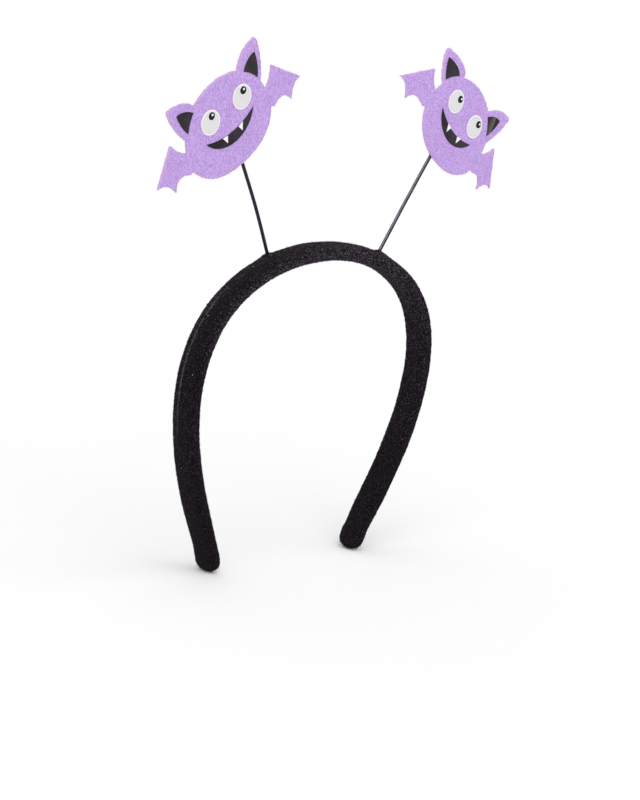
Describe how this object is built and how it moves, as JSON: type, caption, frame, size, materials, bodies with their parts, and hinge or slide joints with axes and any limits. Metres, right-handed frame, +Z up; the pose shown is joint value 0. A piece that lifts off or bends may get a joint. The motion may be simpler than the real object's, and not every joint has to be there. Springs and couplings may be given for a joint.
{
  "type": "bat headband",
  "caption": "Arched padded velvet headband with felt bats on wire stems that stand up from the crown; a costume headpiece worn over the top of the head.",
  "frame": {"origin": "middle of the inner face of the band's crown, where the top of the head sits", "axes": "+Z up from the head, +X towards the wearer's left, -Y towards the front that the faces look to"},
  "size_m": [0.2156, 0.0122, 0.2272],
  "materials": {
    "velvet": "black velvet pile",
    "wire": "satin black coating",
    "felt": "lilac wool felt",
    "black_vinyl": "satin",
    "pale_vinyl": "satin",
    "white_vinyl": "satin"
  },
  "bodies": {
    "root": {"velvet_band": "velvet", "wire_stem_left": "wire", "bat_felt_left": "felt", "inner_ear_a_left": "black_vinyl", "inner_ear_b_left": "black_vinyl", "eye_a_left": "pale_vinyl", "eye_b_left": "pale_vinyl", "pupil_a_left": "black_vinyl", "pupil_b_left": "black_vinyl", "glint_a_left": "white_vinyl", "glint_b_left": "white_vinyl", "mouth_left": "black_vinyl", "fang_a_left": "white_vinyl", "fang_b_left": "white_vinyl", "wire_stem_right": "wire", "bat_felt_right": "felt", "inner_ear_a_right": "black_vinyl", "inner_ear_b_right": "black_vinyl", "eye_a_right": "pale_vinyl", "eye_b_right": "pale_vinyl", "pupil_a_right": "black_vinyl", "pupil_b_right": "black_vinyl", "glint_a_right": "white_vinyl", "glint_b_right": "white_vinyl", "mouth_right": "black_vinyl", "fang_a_right": "white_vinyl", "fang_b_right": "white_vinyl"}
  },
  "joints": []
}
